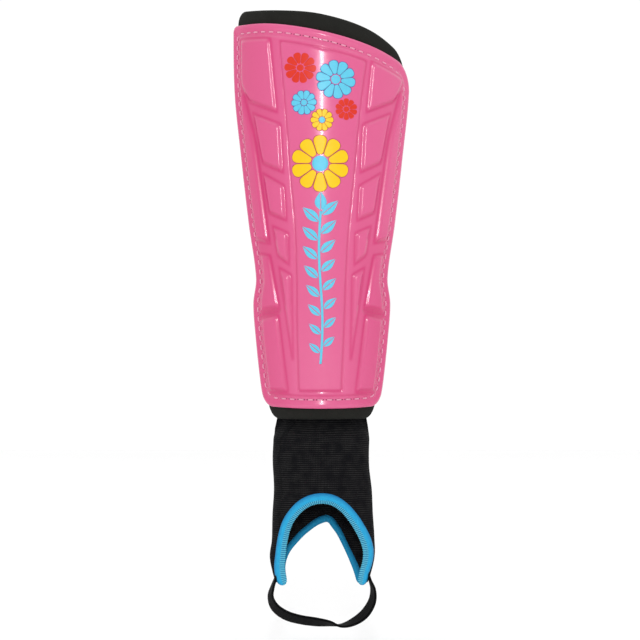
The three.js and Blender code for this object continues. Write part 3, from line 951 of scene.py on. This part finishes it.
def edge_stitching():
    pile = Pile()
    face = edge_loop(STITCH_INSET, FACE_THREAD_DEPTH)
    back = edge_loop(STITCH_INSET + 0.5, LINING_BACK)
    total, back_total = along_line(face)[-1], along_line(back)[-1]
    count = int(round(total / STITCH_PITCH))
    for k in range(count):
        at = np.linspace(0, STITCH_LENGTH, 9) + k * total / count
        line = resample(face, np.minimum(at, total))
        out = outward_at(line)
        stitch(pile, line + out * 0.28, out, THREAD, 0.75)
        needle_holes(pile, line, out, 1)
        line = resample(back, np.minimum(at * back_total / total, back_total))
        out = -outward_at(line)
        stitch(pile, line + out * 0.25, out, THREAD, 0.7, 2)
    obj = pile.mesh("edge_lockstitch")
    pink_thread = sewing_thread("thread_pink", (0.90, 0.44, 0.58), (0.74, 0.22, 0.38))
    # painted shade: a near-black magenta finish for the discs that stand in for the holes' shadow
    hole_shade_paint = sewing_thread("needle_hole_painted_shade", (0.10, 0.008, 0.03), (0.05, 0.004, 0.015))
    wear(obj, pink_thread, hole_shade_paint, BLACK_THREAD)
    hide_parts("edge_stitching")
    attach(obj, "guard")


# ---- Foam and lining ----

FOAM_ROUND = 2.3
LINING_ROUND = 0.8


def waviness(across, z, size, seed):
    """A gentle, repeatable unevenness between about -1 and 1."""
    a = np.sin(z / size + seed + 2.1 * np.sin(across * 3.1 + seed))
    b = np.sin(across * 47 / size + 1.7 * seed + 1.3 * np.sin(z / (1.7 * size)))
    return 0.5 * (a + b)


def foam_backing():
    columns = edge_steps([0, 0.0006, 0.0025, 0.006, 0.011, 0.018, 0.026], 70)
    rows = edge_steps([0, 0.0003, 0.0013, 0.003, 0.0058, 0.009, 0.0135], 120)
    across, z, inset = layer_grid(columns, rows, FOAM_OUTLINE)
    half = (FOAM_BACK - FOAM_FRONT) / 2
    middle = (FOAM_BACK + FOAM_FRONT) / 2
    short = np.clip(1 - inset / FOAM_ROUND, 0, 1)
    thick = half * lerp(0.5, 1.0, np.sqrt(1 - short**2))
    soft = 0.12 * waviness(across, z, 9, 0.4) * smoothstep(0, 3, inset)
    front = guard_point(across, z, middle - thick)
    back = guard_point(across, z, middle + thick - 0.12 + soft)
    obj = wear(sheet_mesh("foam_pad", front, back), cut_foam())
    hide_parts("foam_backing")
    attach(obj, "guard")


def lining():
    columns = edge_steps([0, 0.002, 0.006, 0.012], 90)
    rows = edge_steps([0, 0.001, 0.003, 0.006], 160)
    across, z, inset = layer_grid(columns, rows, FOAM_OUTLINE)
    pucker = ridge_at(inset - STITCH_INSET - 0.5, 1.6)
    soft = 0.25 * waviness(across, z, 6, 1.9) * smoothstep(2, 9, inset)
    edge = corner_drop(LINING_ROUND, inset)
    back = guard_point(across, z, LINING_BACK - 0.1 - 0.45 * pucker + soft * 0.4 - 0.6 * edge)
    front = guard_point(across, z, LINING_FRONT + 0.15 * edge)
    cloth = cloth_map(z, across * girth(z))
    obj = wear(sheet_mesh("lining_cloth", back, front, cloth=cloth), brushed_lining())
    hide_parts("lining")
    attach(obj, "guard")


# ---- Calf strap ----

STRAP_LOW = 36
STRAP_HIGH = 74
STRAP_MID = 55
WEBBING = 1.5
TAPE = 1.2
TAPE_MARGIN = 3
SEWN_LENGTH = 10
TAB_END = 162
STRAP_END = 234
LOOP_TAPE = (130, 158)
HOOK_TAPE = (129, 155)
STRAP_RAMP = (160, 182)
LOOP_LIFT = WEBBING + GAP
HOOK_LIFT = LOOP_LIFT + TAPE + GAP
STRAP_OVER_LIFT = HOOK_LIFT + TAPE + GAP
SEWN_EDGE = float(np.degrees(wrap_angle(STRAP_MID))) - 1
HINGE_ANGLE = 64
BEND_BEFORE = 5  # degrees before and after the hinge line where hinge_points sets its two points
BEND_AFTER = 6
CALF_RADIUS = 45
SELVEDGE_ROUND = 1.1
WEBBING_RIB = 1.9
BOX_MARGIN = 2
BOX_STITCH = 2.6


def strap_lift(degrees):
    """The strap climbs over the tapes and the tab where they meet behind the leg."""
    from_right = 360 - degrees
    return STRAP_OVER_LIFT * smoothstep(0, STRAP_RAMP[1] - STRAP_RAMP[0], STRAP_RAMP[1] - from_right)


def strap_mesh(name, side, start, end, lift, columns, width=(STRAP_LOW, STRAP_HIGH), thick=WEBBING):
    """A band with rolled selvedges that follows the guard's rounds behind the leg."""
    low, high = width
    across = edge_steps([0, 0.008, 0.03, 0.06], 24)
    degrees = edge_steps([0, 0.002, 0.006], columns)
    degrees = lerp(start, end, degrees)[:, None] + 0 * across[None, :]
    z = lerp(low, high, across)[None, :] + 0 * degrees
    from_edge = np.minimum(z - low, high - z)
    from_end = np.radians(np.minimum(degrees - start, end - degrees)) * CALF_RADIUS
    inset = np.minimum(from_edge, from_end)
    slim = 0.38 * corner_drop(SELVEDGE_ROUND, inset) * thick / SELVEDGE_ROUND
    bead = 0.14 * ridge_at(from_edge - 1.2, 0.8)
    base = LINING_BACK + GAP + WEBBING - lift(degrees)
    sag = 0.14 * np.sin(np.radians(degrees) * 5 + z / 11)
    sag = sag * smoothstep(SEWN_EDGE + 2, SEWN_EDGE + 24, degrees) * smoothstep(0, 12, end - degrees)
    angle = side * np.radians(degrees)
    inner = point_at_angle(angle, z, base + bead - slim - 0.1 + sag)
    outer = point_at_angle(angle, z, base - thick - bead + slim + 0.1 + sag)
    return sheet_mesh(name, inner, outer, cloth=cloth_map(np.radians(degrees) * CALF_RADIUS, z))


def hinge_points(side):
    """Two points either side of a strap's hinge line."""
    depth = LINING_BACK + GAP + WEBBING / 2
    return [
        Vector(point_at_angle(side * math.radians(degrees), STRAP_MID, depth) * MM)
        for degrees in (HINGE_ANGLE - BEND_BEFORE, HINGE_ANGLE + BEND_AFTER)
    ]


def box_stitch(pile, side):
    """A box of short stitches with a cross, on the leg side of a sewn end."""
    near, far = SEWN_EDGE - SEWN_LENGTH + BOX_MARGIN, SEWN_EDGE - BOX_MARGIN
    low, high = STRAP_LOW + BOX_MARGIN, STRAP_HIGH - BOX_MARGIN
    corners = [(near, low), (far, low), (far, high), (near, high), (near, low)]
    routes = list(zip(corners[:-1], corners[1:]))
    routes += [((near, low), (far, high)), ((near, high), (far, low))]
    depth = LINING_BACK + GAP + WEBBING + 0.1
    for (a0, z0), (a1, z1) in routes:
        t = np.linspace(0, 1, 40)
        line = point_at_angle(side * np.radians(lerp(a0, a1, t)), lerp(z0, z1, t), depth)
        count = max(int(along_line(line)[-1] / BOX_STITCH), 1)
        stitch_row(pile, line, count, np.linspace(0.12, 0.88, 7), 0.55, 0.35)


def straps():
    webbing = elastic_webbing("elastic_webbing", WEBBING_RIB, WEBBING_DARK, WEBBING_LIGHT)
    start = SEWN_EDGE - SEWN_LENGTH
    strap = strap_mesh("calf_strap_webbing", -1, start, STRAP_END, strap_lift, 150)
    wear(strap, webbing)
    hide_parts("calf_strap", "calf_strap_sewn_end")
    tab = strap_mesh("calf_tab_webbing", 1, start, TAB_END, lambda d: 0 * d, 90)
    wear(tab, webbing)
    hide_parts("calf_tab", "calf_tab_sewn_end")
    narrow = (STRAP_LOW + TAPE_MARGIN, STRAP_HIGH - TAPE_MARGIN)
    hooks = strap_mesh(
        "hook_tape_field", 1, *HOOK_TAPE, lambda d: HOOK_LIFT + 0 * d, 30, narrow, TAPE
    )
    wear(hooks, fastening_tape("hooks", 0.9, 0.35, *HOOK_TONES, 0.1))
    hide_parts("hook_tape")
    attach(hooks, "calf_strap")
    loops = strap_mesh(
        "loop_tape_field", 1, *LOOP_TAPE, lambda d: LOOP_LIFT + 0 * d, 30, narrow, TAPE
    )
    wear(loops, fastening_tape("loops", 0.5, 0.3, *LOOP_TONES, 0.5))
    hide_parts("loop_tape")
    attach(loops, "calf_tab")
    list(hinge_points(-1))
    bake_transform(strap)
    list(hinge_points(1))
    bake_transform(tab)
    for side, node in ((-1, "calf_strap_stitching"), (1, "calf_tab_stitching")):
        pile = Pile()
        box_stitch(pile, side)
        obj = wear(pile.mesh(node.replace("stitching", "box_stitch")), BLACK_THREAD)
        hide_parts(node)
        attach(obj, "guard")


# ---- Ankle sleeve ----

KNIT = 1.2
SLEEVE_TOP = -111.6
SLEEVE_FRONT_AT_TOP = -2.4
SLEEVE_TOP_SLOPE = 0.42
SLEEVE_LEAN = 14
TIP = -200
# Height against half width, for the left and the right side of the tube.
sleeve_left = profile([
    (-205, 24.2), (-200, 24.6), (-193.5, 26.4), (-185, 28.0), (-176, 26.8), (-160, 26.3),
    (-148, 25.8), (-132, 26.5), (-118, 26.0), (-95, 25.8),
])
sleeve_right = profile([
    (-205, 23.4), (-200, 24.2), (-193.5, 26.4), (-184, 28.4), (-174, 28.2), (-163, 27.5),
    (-150, 27.0), (-136, 25.3), (-118, 25.8), (-95, 25.8),
])
sleeve_half_depth = profile([(-205, 12), (-180, 12.6), (-150, 13.8), (-111, 14.6), (-95, 14.6)])
sleeve_squareness = profile([(-205, 3), (-150, 2.4), (-95, 2.2)])
BINDING_WALL = 3.0
BINDING_RIB = 1.1
# Middle line and width of each binding from the left tip to the right one: x, z, width.
FRONT_ROUTE = [
    (-20.8, -200.3, 4.6), (-22.2, -196, 5.2), (-22.9, -190, 5.2), (-22.3, -183, 5.0),
    (-21.5, -177, 5.0), (-20.2, -171, 5.1), (-18.2, -165.6, 5.3), (-15.0, -160.8, 5.5),
    (-11.2, -157, 5.7), (-6.2, -154.2, 5.8), (0, -153.1, 5.9), (6.2, -154.2, 5.8),
    (12.2, -158.2, 5.6), (17, -163.8, 5.6), (21.0, -170, 5.6), (23.6, -175.5, 5.5),
    (25.0, -180.5, 5.2), (25.2, -184.5, 5.0), (24.4, -189, 4.8), (23.0, -193.5, 4.6),
    (21.6, -200.3, 4.0),
]
BACK_ROUTE = [
    (-21.2, -200.3, 4.0), (-22.2, -191, 3.8), (-19.6, -183.2, 3.7), (-12.4, -175, 3.6),
    (-7.9, -171.2, 3.6), (-3.4, -168.0, 3.8), (0, -166.4, 4.0), (2.7, -165.8, 4.0),
    (5.0, -166.8, 3.9), (6.9, -169.3, 3.8), (9.6, -173.0, 3.6), (12.0, -177.3, 3.6),
    (14.6, -182.4, 3.6), (17.0, -187.4, 3.7), (19.6, -193.4, 3.9), (21.8, -200.3, 4.0),
]
SEAM_TOP = -102.6
SLEEVE_ROWS = 90
PINCH_TOP = -172  # below this the tube gets flatter, down to its tips
TIP_PINCH = 0.42
FOLD_HEIGHT = 0.7
SLEEVE_RADIUS = 24  # millimetres of cloth to a radian round the tube
FACING_FRONT = math.radians(84)  # the sewn front edge ends here, round from the front
TUCK_ENDS = math.radians(108)
SEAM_ENDS = math.radians(104)
BINDING_STEPS = 1000
BINDING_SIDES = 24
BINDING_SQUARENESS = 0.85
PINCH = 0.34  # how much thinner the stitched part of a binding is
RIB_SWELL = 0.30
RIB_REACH = 0.10
SEAM_STITCHES = 15


def sleeve_middle(z):
    """The depth of the tube's middle, which leans forward towards the tips."""
    down = np.clip((SLEEVE_TOP - z) / (SLEEVE_TOP - TIP), 0, 1.2)
    return SLEEVE_FRONT_AT_TOP + sleeve_half_depth(SLEEVE_TOP) - SLEEVE_LEAN * down**1.3


def sleeve_half_width(side, z):
    return np.where(np.asarray(side) > 0, sleeve_right(z), sleeve_left(z))


def sleeve_point(turn, z, lift):
    """A point on the tube: turn is 0 at the front and 180 degrees at the back."""
    z = np.asarray(z, float)
    power = 2 / sleeve_squareness(z)
    s, c = np.sin(turn), np.cos(turn)
    x = (sleeve_half_width(s, z) + lift) * np.sign(s) * np.abs(s) ** power
    deep = (sleeve_half_depth(z) + lift) * np.sign(c) * np.abs(c) ** power
    pinch = 1 - TIP_PINCH * smoothstep(PINCH_TOP, TIP, z)
    y = sleeve_middle(z) - deep * pinch
    return np.stack(np.broadcast_arrays(x, y, z), axis=-1)


def turn_at(x, z):
    """How far round the tube a point lies that is seen at x from the front."""
    share = np.minimum(np.abs(x) / sleeve_half_width(x, z), 1)
    return np.sign(x) * np.arcsin(share ** (sleeve_squareness(z) / 2))


def smooth_route(route, count):
    """A smooth line through a route's points, evenly spaced: x and z at each step."""
    route = np.array(route, float)
    rough = np.concatenate([[0], np.cumsum(np.hypot(*np.diff(route[:, :2], axis=0).T))])
    fine = np.linspace(0, rough[-1], count)
    return [profile(list(zip(rough, route[:, k])))(fine) for k in range(route.shape[1])]


def hem_line():
    """The knit's lower edge once round the tube, as turns and heights."""
    front_x, front_z, _ = smooth_route(FRONT_ROUTE, 150)
    back_x, back_z, _ = smooth_route(BACK_ROUTE[::-1], 130)
    front_turn = turn_at(front_x, front_z)
    back_turn = math.pi - turn_at(back_x, back_z)
    right = np.linspace(front_turn[-1], back_turn[0], 14)[1:-1]
    left = np.linspace(back_turn[-1], front_turn[0] + 2 * math.pi, 14)[1:-1]
    level = np.full(len(right), TIP + 1.0)
    return (
        np.concatenate([front_turn, right, back_turn, left]),
        np.concatenate([front_z, level, back_z, level]),
    )


def from_front(turn):
    """How far a turn is from the front of the tube, to either side."""
    return np.abs(np.angle(np.exp(1j * turn)))


def tucked(points, turn, depth):
    """The tube's front edge drawn in behind the foot of the pad, where it is sewn."""
    z = points[..., 2]
    facing = 1 - smoothstep(FACING_FRONT, TUCK_ENDS, from_front(turn))
    share = smoothstep(-122, -111.0, z) * facing
    pad_angle = np.sign(np.sin(turn)) * np.minimum(from_front(turn), math.radians(92)) * 0.58
    behind = point_at_angle(pad_angle, z, depth)
    return lerp(points, behind, share[..., None])


def sleeve_layer(turn, z, lift):
    """One face of the knit, with its gentle level folds."""
    wave = 0.5 * np.sin(z / 4.6 + 1.1 * np.sin(2 * turn)) + 0.5 * np.sin(z / 8.3 + 3 * turn + 1)
    calm = smoothstep(SLEEVE_TOP + 2, SLEEVE_TOP - 14, z) * smoothstep(-199, -185, z)
    faces = 1 - 0.8 * np.abs(np.sin(turn)) ** 4
    points = sleeve_point(turn, z, lift + FOLD_HEIGHT * wave * calm * faces)
    return tucked(points, turn, LINING_BACK + 0.75 - lift)


def ankle_sleeve():
    turn, low = hem_line()
    behind = sleeve_point(turn, SLEEVE_TOP, 0)[:, 1] - SLEEVE_FRONT_AT_TOP
    free_edge = SLEEVE_TOP - SLEEVE_TOP_SLOPE * np.maximum(behind, 0)
    facing = 1 - smoothstep(FACING_FRONT, SEAM_ENDS, from_front(turn))
    high = lerp(free_edge, SEAM_TOP, facing)
    v = np.linspace(0, 1, SLEEVE_ROWS)[None, :]
    z = lerp(low[:, None], high[:, None], v)
    turns = turn[:, None] + 0 * z
    from_edge = high[:, None] - z
    roll = 0.35 * ridge_at(from_edge - 1.0, 1.0) * (1 - facing)[:, None]
    outer = sleeve_layer(turns, z, KNIT / 2 + roll)
    inner = sleeve_layer(turns, z, -KNIT / 2 - roll)
    cloth = cloth_map(turns * SLEEVE_RADIUS, z)
    obj = sheet_mesh("sleeve_knit", outer, inner, ring=True, cloth=cloth)
    wear(obj, ribbed_knit())
    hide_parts("ankle_sleeve")
    return obj


def opening_binding(name, route, at_back, material):
    """Folded binding: a rounded roll whose inner part is pinched by close stitches."""
    x, z, width = smooth_route(route, BINDING_STEPS)
    dx, dz = np.gradient(x), np.gradient(z)
    length = np.hypot(dx, dz)
    in_x, in_z = dz / length, -dx / length  # towards the opening
    turns = turn_at(x, z)
    run = along_line(sleeve_point(turns, z, 0))
    angles = np.linspace(0, 2 * math.pi, BINDING_SIDES, endpoint=False)
    flat, tall = (
        np.sign(wave) * np.abs(wave) ** BINDING_SQUARENESS
        for wave in (np.cos(angles), np.sin(angles))
    )
    pinched = smoothstep(0.15, 0.6, flat) * (0.15 if at_back else 1)
    ribs = np.sin(2 * math.pi * run / BINDING_RIB)
    ends = np.minimum(run, run[-1] - run)
    dome = np.sqrt(np.clip(1 - np.clip(1 - ends / 2.8, 0, 1) ** 2, 0.01, 1))
    sewn = ribs[:, None] * pinched[None, :]
    wall = BINDING_WALL / 2 * (1 - PINCH * pinched[None, :])
    lift = tall[None, :] * wall * (1 + RIB_SWELL * sewn) * dome[:, None]
    reach = flat[None, :] * (width / 2 * lerp(0.15, 1.0, dome))[:, None] + RIB_REACH * sewn
    ring_x = x[:, None] + in_x[:, None] * reach
    ring_z = z[:, None] + in_z[:, None] * reach
    turn = turn_at(ring_x, ring_z)
    rings = sleeve_point(math.pi - turn if at_back else turn, ring_z, lift)
    faces = tube_faces(BINDING_STEPS, BINDING_SIDES)
    cloth = cloth_map(run[:, None], flat[None, :]).reshape(-1, 3)
    obj = make_mesh(name, rings.reshape(-1, 3), faces, cloth)
    wear(obj, material)
    return obj


def sleeve_seam():
    """Stitches that hold the sleeve's front edge to the back of the pad."""
    pile = Pile()
    across = np.linspace(-0.72, 0.72, 120)
    line = guard_point(across, FOAM_BOTTOM + 5, LINING_BACK + 1.45)
    stitch_row(pile, line, SEAM_STITCHES, np.linspace(0.12, 0.86, 9), THREAD, 0.6)
    obj = wear(pile.mesh("sleeve_seam_stitches"), BLACK_THREAD)
    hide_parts("sleeve_seam_stitching")
    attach(obj, "guard")


# ---- Stirrup ----

ELASTIC = 1.4
ELASTIC_WIDTH = 10
ELASTIC_ROUND = 1.2
STIRRUP_RIB = 1.4
STIRRUP_X = 24.6
TACK_Z = -189.6
TACK_BARS = 9
TACK_HALF_WIDTH = 3.8
# Along the elastic from left to right: x, z and how far it is turned to the front.
STIRRUP_ROUTE = [
    (-24.6, -184.5, 0), (-24.6, -190, 0), (-24.9, -196, 2), (-26.6, -201, 6), (-27.9, -207, 16),
    (-25.6, -212.8, 28), (-19.7, -217.2, 33), (-11.8, -219.6, 32), (-2.9, -220.9, 30),
    (4, -221.7, 20), (10.4, -222.9, 0), (16.9, -221.0, -15), (23.2, -216.6, -22),
    (27.4, -209.8, -19), (28.0, -203.2, -12), (26.0, -197, -3), (24.6, -190, 0), (24.6, -184.5, 0),
]


def stirrup():
    """Flat elastic that hangs from the sleeve's tips and twists under the foot."""
    x, z, turn = smooth_route(STIRRUP_ROUTE, 260)
    turn = np.radians(turn)
    dx, dz = np.gradient(x), np.gradient(z)
    length = np.hypot(dx, dz)
    along_x, along_z = dx / length, dz / length
    side = np.stack([along_z * np.sin(turn), np.cos(turn), -along_x * np.sin(turn)], axis=-1)
    run_dir = np.stack([along_x, 0 * x, along_z], axis=-1)
    normal = np.cross(run_dir, side)
    across = edge_steps([0, 0.02, 0.07, 0.14], 9)
    reach = (across - 0.5) * ELASTIC_WIDTH
    inset = np.minimum(across, 1 - across) * ELASTIC_WIDTH
    slim = ELASTIC / 2 - 0.32 * corner_drop(ELASTIC_ROUND, inset)
    centre = np.stack([x, sleeve_middle(np.maximum(z, TIP)), z], axis=-1)
    line = centre[:, None, :] + side[:, None, :] * reach[None, :, None]
    half = normal[:, None, :] * slim[None, :, None]
    cloth = cloth_map(along_line(centre)[:, None], reach[None, :])
    obj = sheet_mesh("stirrup_elastic", line + half, line - half, cloth=cloth)
    wear(obj, elastic_webbing("stirrup_weave", STIRRUP_RIB, STIRRUP_DARK, STIRRUP_LIGHT))
    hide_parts("stirrup_strap", "stirrup_sewn_end_left", "stirrup_sewn_end_right")
    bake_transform(obj)


def tip_tacks():
    """Bars of dense zigzag through each tab and the end of the elastic."""
    for side, name in ((-1, "left"), (1, "right")):
        pile = Pile()
        x = side * (STIRRUP_X - ELASTIC / 2 - 0.35)
        t = np.linspace(-1, 1, 7)
        for k in range(TACK_BARS):
            aside = lerp(-TACK_HALF_WIDTH, TACK_HALF_WIDTH, k / (TACK_BARS - 1))
            lean = 0.4 if k % 2 else -0.4
            y = sleeve_middle(TACK_Z) + aside + lean * t
            line = np.stack([x + 0 * t, y, TACK_Z + t], axis=-1)
            out = np.tile([-side, 0.0, 0.0], (len(t), 1))
            stitch(pile, line, out, 0.7, 0.35)
        obj = wear(pile.mesh(f"tip_bar_tack_{name}"), BLACK_THREAD)
        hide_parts(f"tip_tack_{name}")
        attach(obj, "ankle_sleeve")


# ---- Build ----

BLACK_THREAD = sewing_thread("thread_black", (0.035, 0.035, 0.038), (0.008, 0.008, 0.009))

hard_shell()
prints()
edge_stitching()
foam_backing()
lining()
straps()
sleeve = ankle_sleeve()
bright = blue_binding("binding_front", *FRONT_BLUES)
deep = blue_binding("binding_back", *BACK_BLUES)
front_binding = opening_binding("front_binding_roll", FRONT_ROUTE, False, bright)
back_binding = opening_binding("back_binding_roll", BACK_ROUTE, True, deep)
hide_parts("front_opening_binding")
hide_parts("back_opening_binding")
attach(front_binding, "ankle_sleeve")
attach(back_binding, "ankle_sleeve")
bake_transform(sleeve)
sleeve_seam()
stirrup()
tip_tacks()


# ---- Studio ----

FLOOR_Z = -0.236
FLOOR_SIZE = 2.3
# World brightness over directions from the front (y = -1) to the back.
WORLD_FADE = {"From Min": -0.8, "From Max": 0.1, "To Min": 0.77, "To Max": 1.03}
CAMERA_PLACE = (-0.0010, -1.5, -0.0561)
CAMERA_LENS = 154.4


def floor():
    mesh = bpy.data.meshes.new("floor")
    turns = ((-1, -1), (1, -1), (1, 1), (-1, 1))
    corners = [(x * FLOOR_SIZE, y * FLOOR_SIZE, FLOOR_Z) for x, y in turns]
    mesh.from_pydata(corners, [], [(0, 1, 2, 3)])
    obj = bpy.data.objects.new("floor", mesh)
    scene.collection.objects.link(obj)
    wear(obj, pale_floor())


def softbox(name, location, size, power, target):
    """A rectangular light that faces its target."""
    light = bpy.data.lights.new(name, "AREA")
    light.shape = "RECTANGLE"
    light.size, light.size_y = size
    light.energy = power
    obj = bpy.data.objects.new(name, light)
    obj.location = location
    aim = Vector(target) - Vector(location)
    obj.rotation_euler = aim.to_track_quat("-Z", "Y").to_euler()
    scene.collection.objects.link(obj)


def studio_world():
    """A white surround, a little dimmer in front of the object."""
    world = bpy.data.worlds.new("studio")
    scene.world = world
    world.use_nodes = True
    nodes, links = world.node_tree.nodes, world.node_tree.links
    background = nodes["Background"]
    direction = nodes.new("ShaderNodeTexCoord")
    split = nodes.new("ShaderNodeSeparateXYZ")
    fade = nodes.new("ShaderNodeMapRange")
    fade.interpolation_type = "SMOOTHSTEP"
    for socket, value in WORLD_FADE.items():
        fade.inputs[socket].default_value = value
    links.new(direction.outputs["Generated"], split.inputs[0])
    links.new(split.outputs[1], fade.inputs["Value"])
    links.new(fade.outputs[0], background.inputs["Strength"])
    background.inputs["Color"].default_value = (1, 1, 1, 1)


def camera():
    data = bpy.data.cameras.new("camera")
    data.sensor_width = 36
    data.lens = CAMERA_LENS
    obj = bpy.data.objects.new("camera", data)
    obj.location = CAMERA_PLACE
    obj.rotation_euler = (math.radians(90), 0, 0)
    scene.collection.objects.link(obj)
    scene.camera = obj


floor()
studio_world()
softbox("key_window", (0.0, -1.55, 0.40), size=(0.09, 0.58), power=6, target=(0, 0, -0.03))
softbox("overhead", (0.0, 0.7, 2.6), size=(3.4, 3.4), power=14, target=(0, 0.7, 0))
camera()
scene.view_settings.view_transform = "Standard"
